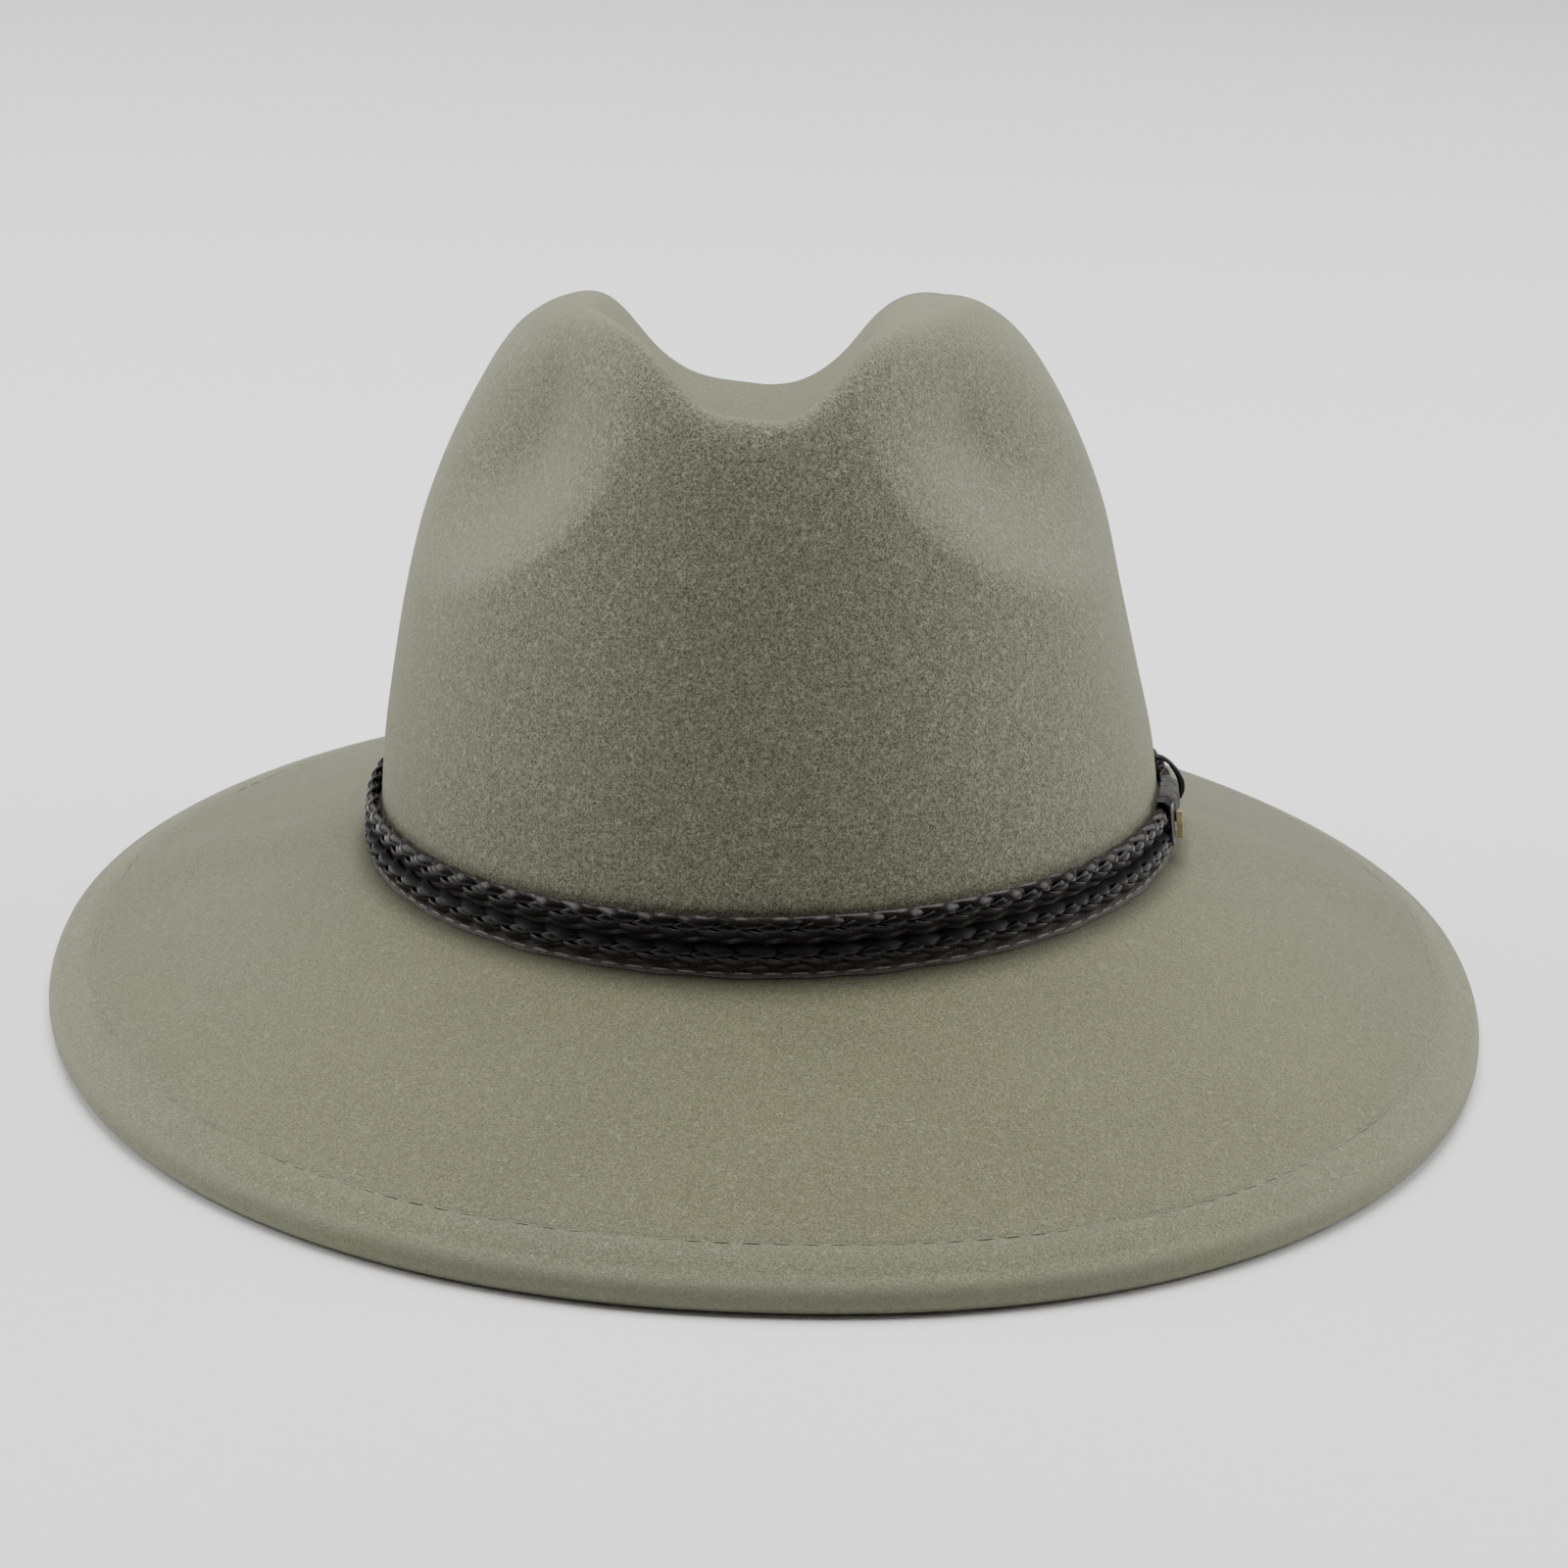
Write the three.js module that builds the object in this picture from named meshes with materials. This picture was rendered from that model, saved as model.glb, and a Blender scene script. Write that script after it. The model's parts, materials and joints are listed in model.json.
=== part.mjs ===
import * as THREE from "three";

// Soft felt fedora with a centre crease, two front pinches and a twin braided band.
// Millimetres, +Z up, the front faces -Y and the hat stands on the edge of its brim.

// crown
const headHalfWidth = 86;
const headHalfLength = 103;
const headHeight = 38;
const headForward = 3.65;
const crownHeight = 127.4;
const crownPitch = 0.062;
const crownRoll = 0.0396;
const slopePivot = -45;
const crownWall = 2.2;
const footHeight = 0.4;

// brim and its turned edge
const hemHalfWidth = 154.7;
const hemHalfLength = 170.8;
const hemFrontPower = 2.16;
const hemBackPower = 2.01;
const hemRadius = 3.6;
const hemTurn = 11.4;
const turnThickness = 4.8;
const turnStep = 1.6;
const brimThickness = 2.3;
const restInner = 0.9;
const restOuter = 1.1;
const ridgeRise = 2.6;
const ridgeHalfWidth = 24;
const ridgeStart = -5.8;
const ridgeSweep = 0.62;

// crease along the top
const creaseRise = 28.7;
const creaseLeftPower = 5.37;
const creaseRightPower = 2.88;
const creaseRightWider = 0.134;
const creaseSideBlend = 12;
const creaseTilt = -2.83;
const creaseTiltReach = 20;
const creaseOuterSlope = 0.59;
const creaseBlend = 15;
const lipBlend = 8;

// pinches on both sides of the front
const pinchDepth = 12.5;
const pinchShift = -3.7;
const pinchCornerAngle = 1.22;
const pinchReach = 0.94;
const pinchCornerHeight = 112;
const pinchDrop = 49;
const pinchPower = 2.2;
const pinchLedge = 0.46;
const pinchCrispness = 0.3;
const pinchTopStart = 88;
const pinchTopEnd = 128;
const pinchSideStart = 0.6;
const pinchSideEnd = 1.54;
const pinchPush = 0.7;

// band
const fitGap = 0.3;
const tapeThickness = 0.5;
const tapeTop = 7;
const tapeReach = 3.1;
const braidThickness = 2.5;
const braidHeight = 5.2;
const braidGap = 0.45;
const lowerBraidFoot = 0.35;
const keeperThickness = 0.6;
const keeperFoot = 2;
const keeperStart = -15.5;
const keeperEnd = -13.2;
const plateThickness = 1.1;
const plateHeight = 6;
const plateMiddle = 5.7;
const plateStart = -13;
const plateEnd = -11.5;
const wrapThickness = 0.7;
const wrapFoot = 6;
const wrapStart = -12.8;
const wrapEnd = -4;
const loopStart = 3.1;
const loopEnd = 4.7;

// open crown, from the foot to the top: height, half width and lengths are shares of the
// crown sizes, tilt is the rise per millimetre towards the back, shift is sideways
const sections = [
  { height: 0, width: 1, front: 1, back: 1, tilt: 0, shift: 0 },
  { height: 0.16, width: 0.98, front: 0.985, back: 0.98, tilt: 0, shift: -0.4 },
  { height: 0.3, width: 0.944, front: 0.965, back: 0.95, tilt: -0.01, shift: -1 },
  { height: 0.43, width: 0.909, front: 0.94, back: 0.92, tilt: -0.03, shift: -1.3 },
  { height: 0.56, width: 0.867, front: 0.912, back: 0.88, tilt: -0.05, shift: -1 },
  { height: 0.66, width: 0.823, front: 0.885, back: 0.84, tilt: -0.08, shift: -0.7 },
  { height: 0.75, width: 0.772, front: 0.85, back: 0.79, tilt: -0.11, shift: -0.6 },
  { height: 0.83, width: 0.715, front: 0.805, back: 0.73, tilt: -0.13, shift: -0.5 },
  { height: 0.9, width: 0.654, front: 0.745, back: 0.655, tilt: -0.15, shift: -0.6 },
  { height: 0.955, width: 0.581, front: 0.67, back: 0.565, tilt: -0.17, shift: -0.9 },
  { height: 0.995, width: 0.474, front: 0.56, back: 0.45, tilt: -0.18, shift: -1 },
  { height: 1.02, width: 0.32, front: 0.4, back: 0.31, tilt: -0.18, shift: -0.5 },
  { height: 1.032, width: 0.155, front: 0.205, back: 0.15, tilt: -0.18, shift: 0 },
  { height: 1.035, width: 0, front: 0, back: 0, tilt: -0.18, shift: 0 },
];

// crease floor, from the front to the back
const creaseFloor = [
  { back: -110, floor: 109.9, halfWidth: 25.1, middle: -0.8 },
  { back: -84, floor: 107.9, halfWidth: 25.4, middle: -0.8 },
  { back: -58, floor: 99.1, halfWidth: 29.2, middle: -3.4 },
  { back: -34, floor: 97.05, halfWidth: 33.9, middle: -6.4 },
  { back: 0, floor: 98.65, halfWidth: 37.6, middle: -3.65 },
  { back: 30, floor: 92.4, halfWidth: 44.2, middle: 0 },
  { back: 55, floor: 87.4, halfWidth: 49.2, middle: 0 },
  { back: 80, floor: 77.4, halfWidth: 50.9, middle: 0 },
  { back: 110, floor: 62.4, halfWidth: 50.9, middle: 0 },
];

const clamp01 = (value) => Math.min(1, Math.max(0, value));

function smoothStep(value) {
  const t = clamp01(value);
  return t * t * (3 - 2 * t);
}

function smoothMin(a, b, blend) {
  const h = clamp01(0.5 + (0.5 * (b - a)) / blend);
  return b * (1 - h) + a * h - blend * h * (1 - h);
}

// smooth curve through the rows of the section table
function sectionAt(place) {
  const last = sections.length - 1;
  const i = Math.min(last - 1, Math.max(0, Math.floor(place)));
  const f = place - i;
  const row = {};
  for (const key of Object.keys(sections[0])) {
    const b = sections[i][key];
    const c = sections[i + 1][key];
    const a = i > 0 ? sections[i - 1][key] : 2 * b - c;
    const d = i < last - 1 ? sections[i + 2][key] : 2 * c - b;
    row[key] = 0.5 * (2 * b + (c - a) * f + (2 * a - 5 * b + 4 * c - d) * f * f
      + (3 * b - a - 3 * c + d) * f * f * f);
  }
  return row;
}

function creaseAt(y) {
  let i = 0;
  while (i < creaseFloor.length - 2 && y > creaseFloor[i + 1].back) i += 1;
  const a = creaseFloor[i];
  const b = creaseFloor[i + 1];
  const f = clamp01((y - a.back) / (b.back - a.back));
  return {
    floor: a.floor + (b.floor - a.floor) * f,
    halfWidth: a.halfWidth + (b.halfWidth - a.halfWidth) * f,
    middle: a.middle + (b.middle - a.middle) * f,
  };
}

// how deep a pinch is at an angle from the front and a height, as a share of its depth
function pinchShare(angle, height) {
  const across = Math.max(pinchCornerAngle - angle, 0) / pinchReach;
  const down = Math.max(pinchCornerHeight - height, 0) / pinchDrop;
  const away = (across ** pinchPower + down ** pinchPower) ** (1 / pinchPower);
  const t = clamp01((1 - away) / pinchLedge);
  const ledge = (1 - pinchCrispness) * smoothStep(t) + pinchCrispness * Math.sin((Math.PI / 2) * t);
  const top = 1 - smoothStep((height - pinchTopStart) / (pinchTopEnd - pinchTopStart));
  const side = 1 - smoothStep((angle - pinchSideStart) / (pinchSideEnd - pinchSideStart));
  return ledge * top * side;
}

// the crown's frame stands on the brim, a little pitched and rolled
function standCrown(x, y, z) {
  const y1 = y * Math.cos(crownPitch) + z * Math.sin(crownPitch);
  const z1 = z * Math.cos(crownPitch) - y * Math.sin(crownPitch);
  return new THREE.Vector3(
    x * Math.cos(crownRoll) - z1 * Math.sin(crownRoll),
    y1 - headForward,
    x * Math.sin(crownRoll) + z1 * Math.cos(crownRoll) + headHeight,
  );
}

// outer face of the crown at an angle and a place in the section table
function crownPoint(angle, place) {
  const row = sectionAt(place);
  const x = headHalfWidth * row.width * Math.cos(angle);
  const lengthShare = Math.sin(angle) < 0 ? row.front : row.back;
  const y = headHalfLength * lengthShare * Math.sin(angle);
  const dome = crownHeight * row.height + row.tilt * (y - slopePivot);

  // the crease's right side is wider and rises more slowly, and its floor leans to that side
  const crease = creaseAt(y);
  const across = x - crease.middle;
  const right = smoothStep(0.5 + across / creaseSideBlend);
  const power = creaseLeftPower + (creaseRightPower - creaseLeftPower) * right;
  const halfWidth = crease.halfWidth * (1 + creaseRightWider * right);
  const floor = crease.floor + creaseTilt * Math.max(-1, Math.min(1, across / creaseTiltReach));
  const fromMiddle = Math.abs(across);
  const wave = Math.sin((Math.PI / 2) * clamp01(fromMiddle / halfWidth)) ** power;
  const cup = floor + creaseRise * wave + creaseOuterSlope * Math.max(fromMiddle - halfWidth, 0);
  const blend = lipBlend + (creaseBlend - lipBlend) * smoothStep(fromMiddle / halfWidth);
  const z = smoothMin(dome, cup, blend);

  const fromBridge = x - pinchShift;
  const push = pinchDepth * pinchShare(Math.atan2(Math.abs(fromBridge), -y), dome);
  return standCrown(
    x - push * Math.sin(pinchPush) * Math.sign(fromBridge) + row.shift,
    y + push * Math.cos(pinchPush),
    z,
  );
}

// vertical slice of the brim at an angle: where it leaves the crown, where it ends, its slope
function brimSlice(angle) {
  const start = standCrown(headHalfWidth * Math.cos(angle), headHalfLength * Math.sin(angle), 0);
  const c = Math.cos(angle);
  const s = Math.sin(angle);
  const power = hemFrontPower + (hemBackPower - hemFrontPower) * smoothStep((s + 0.6) / 1.2);
  const endX = hemHalfWidth * Math.sign(c) * Math.abs(c) ** (2 / power);
  const endY = hemHalfLength * Math.sign(s) * Math.abs(s) ** (2 / power);
  const run = Math.hypot(endX - start.x, endY - start.y);
  return {
    start,
    run,
    outX: (endX - start.x) / run,
    outY: (endY - start.y) / run,
    slope: Math.atan2(start.z - 2 * hemRadius, run),
  };
}

function slicePoint(slice, distance, height) {
  return new THREE.Vector3(
    slice.start.x + slice.outX * distance,
    slice.start.y + slice.outY * distance,
    height,
  );
}

// upper face of the brim, share 0 at the crown and 1 where the turned edge begins to round
function brimPoint(angle, share) {
  const slice = brimSlice(angle);
  const distance = share * (slice.run + hemRadius * Math.sin(slice.slope));
  const end = hemRadius * (1 + Math.cos(slice.slope));
  const point = slicePoint(slice, distance, slice.start.z + (end - slice.start.z) * share);
  const ridgeY = ridgeStart + ridgeSweep * (Math.abs(point.x) - headHalfWidth);
  const t = clamp01(Math.abs(point.y - ridgeY) / ridgeHalfWidth);
  const side = smoothStep((Math.abs(point.x) - 0.6 * headHalfWidth) / (0.4 * headHalfWidth));
  point.z += ridgeRise * side * Math.sin(Math.PI * share) * (1 - smoothStep(t));
  return point;
}

// point of the rounded edge, measured from the middle of its round
function hemPoint(angle, outward, height) {
  const slice = brimSlice(angle);
  return slicePoint(slice, slice.run + outward, hemRadius + height);
}

// a face's point moved along its normal, found from the neighbours on the same face:
// outwards on the crown, downwards on the brim
function offsetPoint(face, angle, place, amount, step) {
  const alongAngle = face(angle + 0.01, place).sub(face(angle - 0.01, place));
  const alongPlace = face(angle, place + step).sub(face(angle, place - step));
  const normal = alongAngle.cross(alongPlace).normalize();
  return face(angle, place).addScaledVector(normal, amount);
}

// closed solid from rings of points; a ring of one point is a pole
function solidFromRings(rings, wrapsRound) {
  const positions = [];
  const starts = [];
  for (const ring of rings) {
    starts.push(positions.length / 3);
    for (const point of ring) positions.push(point.x, point.y, point.z);
  }
  const index = [];
  const pairs = wrapsRound ? rings.length : rings.length - 1;
  for (let i = 0; i < pairs; i += 1) {
    const next = (i + 1) % rings.length;
    const count = Math.max(rings[i].length, rings[next].length);
    for (let j = 0; j < count; j += 1) {
      const k = (j + 1) % count;
      const a = starts[i] + (rings[i].length > 1 ? j : 0);
      const b = starts[i] + (rings[i].length > 1 ? k : 0);
      const c = starts[next] + (rings[next].length > 1 ? j : 0);
      const d = starts[next] + (rings[next].length > 1 ? k : 0);
      if (a !== b) index.push(a, d, b);
      if (c !== d) index.push(a, c, d);
    }
  }
  const geometry = new THREE.BufferGeometry();
  geometry.setAttribute("position", new THREE.Float32BufferAttribute(positions, 3));
  geometry.setIndex(index);
  return geometry;
}

// angles round the hat, closer together at the front where the pinches are
const feltSteps = 68;
const frontDensity = 0.25;
const feltAngles = [];
for (let i = 0; i < feltSteps; i += 1) {
  const t = (2 * Math.PI * i) / feltSteps;
  feltAngles.push(t - frontDensity * Math.cos(t));
}

const ringOf = (pointAt) => feltAngles.map(pointAt);

function feltBody() {
  const crownPlaces = [];
  for (let place = 12.3; place >= 2.9; place -= 0.55) crownPlaces.push(place);
  crownPlaces.push(2, 1);
  const footPlace = footHeight / (crownHeight * sections[1].height);
  const top = sections.length - 1;
  const brimShares = [0.17, 0.34, 0.51, 0.68, 0.84, 1];

  const rings = [[crownPoint(0, top)]];
  for (const place of crownPlaces) rings.push(ringOf((a) => crownPoint(a, place)));
  rings.push(ringOf((a) => crownPoint(a, footPlace)));
  rings.push(ringOf((a) => brimPoint(a, 0.006)));
  for (const share of brimShares) rings.push(ringOf((a) => brimPoint(a, share)));

  // rounded edge, then the flat ring that the hat rests on
  for (const turn of [0.6, 0, -0.7]) {
    rings.push(ringOf((a) => hemPoint(a, hemRadius * Math.cos(turn), hemRadius * Math.sin(turn))));
  }
  rings.push(ringOf((a) => hemPoint(a, restOuter, -hemRadius)));
  rings.push(ringOf((a) => hemPoint(a, -restInner, -hemRadius)));

  // turned layer under the brim, and the step up to the brim's own underside
  const turnInner = hemTurn - hemRadius;
  rings.push(ringOf((a) => {
    const { slope } = brimSlice(a);
    const height = (hemRadius - turnThickness) / Math.cos(slope) + turnInner * Math.tan(slope);
    return hemPoint(a, -turnInner, height);
  }));
  const under = (shareAt) => ringOf((a) => offsetPoint(brimPoint, a, shareAt(a), brimThickness, 0.01));
  const stepShare = (a) => {
    const { run, slope } = brimSlice(a);
    return (run - turnInner - turnStep) / (run + hemRadius * Math.sin(slope));
  };
  rings.push(under(stepShare));
  for (const share of [0.8, 0.6, 0.4, 0.2]) rings.push(under((a) => share * stepShare(a)));
  rings.push(under(() => 0.006));

  const inside = (place) => ringOf((a) => offsetPoint(crownPoint, a, place, -crownWall, 0.02));
  rings.push(inside(0.05));
  for (const place of [...crownPlaces].reverse()) rings.push(inside(place));
  const innerTop = crownPoint(0, top);
  innerTop.z -= crownWall;
  rings.push([innerTop]);
  return solidFromRings(rings, false);
}

// point of the band, measured outwards and upwards from the foot of the crown's wall
function bandPoint(angle, outward, height) {
  const row = sectionAt(Math.max(0, height) / (crownHeight * sections[1].height));
  const lengthShare = Math.sin(angle) < 0 ? row.front : row.back;
  const halfWidth = headHalfWidth * row.width;
  const halfLength = headHalfLength * lengthShare;
  const normal = new THREE.Vector2(Math.cos(angle) / halfWidth, Math.sin(angle) / halfLength).normalize();
  return standCrown(
    halfWidth * Math.cos(angle) + row.shift + normal.x * outward,
    halfLength * Math.sin(angle) + normal.y * outward,
    height,
  );
}

// point over the brim close to the crown
function overBrim(angle, outward, gap) {
  const slice = brimSlice(angle);
  const point = brimPoint(angle, outward / slice.run);
  point.z += gap / Math.cos(slice.slope);
  return point;
}

// closed ring with one section all round
function ringSolid(sectionAtAngle, steps) {
  const rings = [];
  for (let i = 0; i < steps; i += 1) rings.push(sectionAtAngle((2 * Math.PI * i) / steps));
  return solidFromRings(rings, true);
}

// piece of a ring between two angles in degrees, with flat ends
function arcSolid(section, startDegrees, endDegrees, steps) {
  const rings = [];
  for (let i = 0; i <= steps; i += 1) {
    const degrees = startDegrees + ((endDegrees - startDegrees) * i) / steps;
    rings.push(section.map(([outward, height]) => bandPoint((degrees * Math.PI) / 180, outward, height)));
  }
  const geometry = solidFromRings(rings, false);
  const index = [...geometry.index.array];
  const count = section.length;
  const last = steps * count;
  const corners = section.map(([outward, height]) => new THREE.Vector2(outward, height));
  for (const [a, b, c] of THREE.ShapeUtils.triangulateShape(corners, [])) {
    index.push(a, b, c);
    index.push(last + a, last + c, last + b);
  }
  geometry.setIndex(index);
  return geometry;
}

// flat oval section, as points counted clockwise seen against the ring's direction
function braidSection(middle) {
  const inner = fitGap + tapeThickness + 0.2;
  const points = [];
  for (let i = 0; i < 8; i += 1) {
    const t = (2 * Math.PI * (i + 0.5)) / 8;
    const across = Math.sign(Math.cos(t)) * Math.abs(Math.cos(t)) ** 0.7;
    const up = Math.sign(Math.sin(t)) * Math.abs(Math.sin(t)) ** 0.7;
    const outward = inner + (braidThickness / 2) * (1 + across / 0.946);
    points.push([outward, middle + (braidHeight / 2) * (up / 0.946)]);
  }
  return points;
}

const felt = new THREE.MeshStandardMaterial({ color: 0x8f9077, roughness: 0.95 });
const blackLeather = new THREE.MeshStandardMaterial({ color: 0x1c1917, roughness: 0.5 });
const tapeFabric = new THREE.MeshStandardMaterial({ color: 0x6d6a58, roughness: 0.9 });
const greySuede = new THREE.MeshStandardMaterial({ color: 0x77716a, roughness: 0.9 });
const brass = new THREE.MeshStandardMaterial({ color: 0xc9a85c, roughness: 0.3, metalness: 1 });

const group = new THREE.Group();

function addPiece(name, geometry, material) {
  geometry.computeVertexNormals();
  const mesh = new THREE.Mesh(geometry, material);
  mesh.name = name;
  group.add(mesh);
}

addPiece("felt_body", feltBody(), felt);

const lowerMiddle = lowerBraidFoot + braidHeight / 2;
const upperMiddle = lowerMiddle + braidHeight + braidGap;
const braidSteps = 64;
for (const [name, middle] of [["lower_braid", lowerMiddle], ["upper_braid", upperMiddle]]) {
  const section = braidSection(middle);
  const ringAt = (a) => section.map(([outward, height]) => bandPoint(a, outward, height));
  addPiece(name, ringSolid(ringAt, braidSteps), blackLeather);
}

// backing tape: down the crown behind the braids and out over the brim below them
const tapeOuter = fitGap + tapeThickness;
const tapeRing = ringSolid((a) => [
  bandPoint(a, tapeOuter, tapeTop),
  bandPoint(a, fitGap, tapeTop),
  bandPoint(a, fitGap + 0.25, 0.15),
  overBrim(a, tapeReach, fitGap),
  overBrim(a, tapeReach, tapeOuter),
  bandPoint(a, tapeOuter + 0.15, 0.38),
], braidSteps);
addPiece("backing_tape", tapeRing, tapeFabric);

const braidOuter = fitGap + tapeThickness + 0.2 + braidThickness;
const bandTop = upperMiddle + braidHeight / 2;
const hookSection = (thickness, gap, foot) => {
  const inside = braidOuter + gap;
  const outside = inside + thickness;
  const ceiling = bandTop + gap;
  return [
    [inside, foot], [outside, foot], [outside, ceiling], [inside, ceiling + thickness],
    [1, ceiling + thickness], [1, ceiling], [inside - 0.4, ceiling], [inside, ceiling - 0.7],
  ];
};
const keeperSection = hookSection(keeperThickness, fitGap, keeperFoot);
addPiece("keeper", arcSolid(keeperSection, keeperStart, keeperEnd, 2), blackLeather);
const wrapSection = hookSection(wrapThickness, fitGap, wrapFoot);
addPiece("wrap", arcSolid(wrapSection, wrapStart, wrapEnd, 4), greySuede);

const plateInner = braidOuter + fitGap + wrapThickness + 0.3;
const plateOuter = plateInner + plateThickness;
const plateSection = [
  [plateInner, plateMiddle - plateHeight / 2], [plateOuter, plateMiddle - plateHeight / 2],
  [plateOuter, plateMiddle + plateHeight / 2], [plateInner, plateMiddle + plateHeight / 2],
];
addPiece("plate", arcSolid(plateSection, plateStart, plateEnd, 1), brass);

// thick lace bent over both braids, from the crown's wall to near the brim
const loopSection = [
  [braidOuter + 1.1, 2.9], [braidOuter + 2.4, 2.3], [braidOuter + 3.6, 4.6], [braidOuter + 3.7, 6.6],
  [braidOuter + 2.8, bandTop - 2.3], [braidOuter + 1, bandTop], [braidOuter - 0.9, bandTop + 1.4],
  [0.7, bandTop + 1.7], [0.7, bandTop + 0.4], [braidOuter - 1.1, bandTop + 0.4],
  [braidOuter + 0.2, bandTop - 0.6], [braidOuter + 1.4, bandTop - 2.6],
  [braidOuter + 2.2, bandTop - 4.8], [braidOuter + 2, bandTop - 6.3],
];
addPiece("end_loop", arcSolid(loopSection, loopStart, loopEnd, 3), blackLeather);

export default group;
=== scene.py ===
import json
import math
import bpy
import numpy as np
from mathutils import Matrix, Vector

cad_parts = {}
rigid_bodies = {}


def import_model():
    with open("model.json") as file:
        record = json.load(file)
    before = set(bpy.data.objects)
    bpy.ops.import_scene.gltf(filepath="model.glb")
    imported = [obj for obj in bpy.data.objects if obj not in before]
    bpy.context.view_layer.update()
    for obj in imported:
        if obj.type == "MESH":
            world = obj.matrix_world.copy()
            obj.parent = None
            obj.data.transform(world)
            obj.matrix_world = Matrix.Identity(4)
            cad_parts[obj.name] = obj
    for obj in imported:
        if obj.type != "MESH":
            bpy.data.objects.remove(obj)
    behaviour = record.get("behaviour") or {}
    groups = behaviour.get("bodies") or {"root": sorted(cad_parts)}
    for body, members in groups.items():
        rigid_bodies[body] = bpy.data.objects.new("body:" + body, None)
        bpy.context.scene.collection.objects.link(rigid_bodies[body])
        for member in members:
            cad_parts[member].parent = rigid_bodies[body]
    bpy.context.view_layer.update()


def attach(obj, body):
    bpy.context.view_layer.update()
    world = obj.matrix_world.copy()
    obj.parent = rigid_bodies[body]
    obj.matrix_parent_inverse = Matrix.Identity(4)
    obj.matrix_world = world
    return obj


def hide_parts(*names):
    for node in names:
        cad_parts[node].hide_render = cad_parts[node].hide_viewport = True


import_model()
random = np.random.default_rng(41)


# shader nodes written as sums and products

class Wire:
    # one output socket of a material's node tree; arithmetic on it adds Math nodes
    def __init__(self, tree, socket=None):
        self.tree = tree
        self.socket = socket

    # makes any node: its settings first, then numbers or wires for its inputs
    def node(self, kind, settings=None, inputs=None, output=0):
        made = self.tree.nodes.new(kind)
        for name, value in (settings or {}).items():
            setattr(made, name, value)
        for name, value in (inputs or {}).items():
            if isinstance(value, Wire):
                self.tree.links.new(value.socket, made.inputs[name])
            else:
                made.inputs[name].default_value = value
        return Wire(self.tree, made.outputs[output])

    def math(self, operation, *values, clamp=False):
        settings = {"operation": operation, "use_clamp": clamp}
        return self.node("ShaderNodeMath", settings, dict(enumerate(values)))

    def __add__(self, other):
        return self.math("ADD", self, other)

    def __sub__(self, other):
        return self.math("SUBTRACT", self, other)

    def __rsub__(self, other):
        return self.math("SUBTRACT", other, self)

    def __mul__(self, other):
        return self.math("MULTIPLY", self, other)

    __radd__ = __add__
    __rmul__ = __mul__

    def clamped(self):
        return self.math("ADD", self, 0.0, clamp=True)

    # steeper about a middle value, then moved to a base and kept between 0 and 1
    def contrast(self, gain, middle=0.5, base=0.5):
        return ((self - middle) * gain + base).clamped()

    # colour that goes from one to another as the share goes from 0 to 1
    def blend(self, share, start, end):
        colours = {6: (*start, 1) if isinstance(start, tuple) else start,
                   7: (*end, 1) if isinstance(end, tuple) else end, 0: share}
        return self.node("ShaderNodeMix", {"data_type": "RGBA"}, colours, output=2)

    def noise(self, vector, scale, detail=2.0, roughness=0.5):
        inputs = {"Vector": vector, "Scale": scale, "Detail": detail, "Roughness": roughness}
        return self.node("ShaderNodeTexNoise", None, inputs)

    # vector pushed about by a noise, at most by the given distance
    def stirred(self, vector, scale, distance):
        noise = {"Vector": vector, "Scale": scale, "Detail": 1.0}
        middle = (0.5, 0.5, 0.5)
        stir = self.node("ShaderNodeTexNoise", None, noise, output="Color")
        stir = self.node("ShaderNodeVectorMath", {"operation": "SUBTRACT"}, {0: stir, 1: middle})
        stir = self.node("ShaderNodeVectorMath", {"operation": "SCALE"}, {0: stir, "Scale": distance * 2})
        return self.node("ShaderNodeVectorMath", {"operation": "ADD"}, {0: vector, 1: stir})

    # values that a mesh carries at its points under a name
    def painted(self, name):
        return self.node("ShaderNodeAttribute", {"attribute_name": name}, output="Fac")


def newFinish(name, **constants):
    material = bpy.data.materials.new(name)
    material.use_nodes = True
    tree = material.node_tree
    shader = tree.nodes["Principled BSDF"]
    for socket, value in constants.items():
        shader.inputs[socket.replace("_", " ")].default_value = value
    wire = Wire(tree)
    place = wire.node("ShaderNodeTexCoord", output="Object")

    def feed(socket, value):
        tree.links.new(value.socket, shader.inputs[socket])

    def bump(height, distance, strength=1.0):
        inputs = {"Height": height, "Distance": distance, "Strength": strength}
        feed("Normal", wire.node("ShaderNodeBump", None, inputs))

    return material, wire, place, feed, bump


# meshes from grids of points

# four-cornered faces of a grid; loops say which of its two directions close on themselves
def gridQuads(rows, columns, loops):
    rowPairs = rows if loops[0] else rows - 1
    columnPairs = columns if loops[1] else columns - 1
    i, j = np.meshgrid(np.arange(rowPairs), np.arange(columnPairs), indexing="ij")
    row, nextRow, nextColumn = i * columns, (i + 1) % rows * columns, (j + 1) % columns
    return np.stack([row + j, row + nextColumn, nextRow + nextColumn, nextRow + j], -1).reshape(-1, 4)


# triangles from a middle point to the edge of the first or last row
def endFan(middle, row, columns, first):
    edge = row * columns + np.arange(columns)
    after = row * columns + (np.arange(columns) + 1) % columns
    middle = np.full(columns, middle)
    return np.stack([middle, after, edge] if first else [middle, edge, after], -1)


# flat rungs between the two sides of a bent profile, from a column on, at both ends of a grid
def endLadders(rows, columns, ladder):
    k = np.arange(columns // 2 - 1)
    left, right = (ladder - k) % columns, (ladder + 1 + k) % columns
    rungs = np.stack([left, (left - 1) % columns, (right + 1) % columns, right], -1)
    return np.concatenate([rungs, rungs[:, ::-1] + (rows - 1) * columns])


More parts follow.
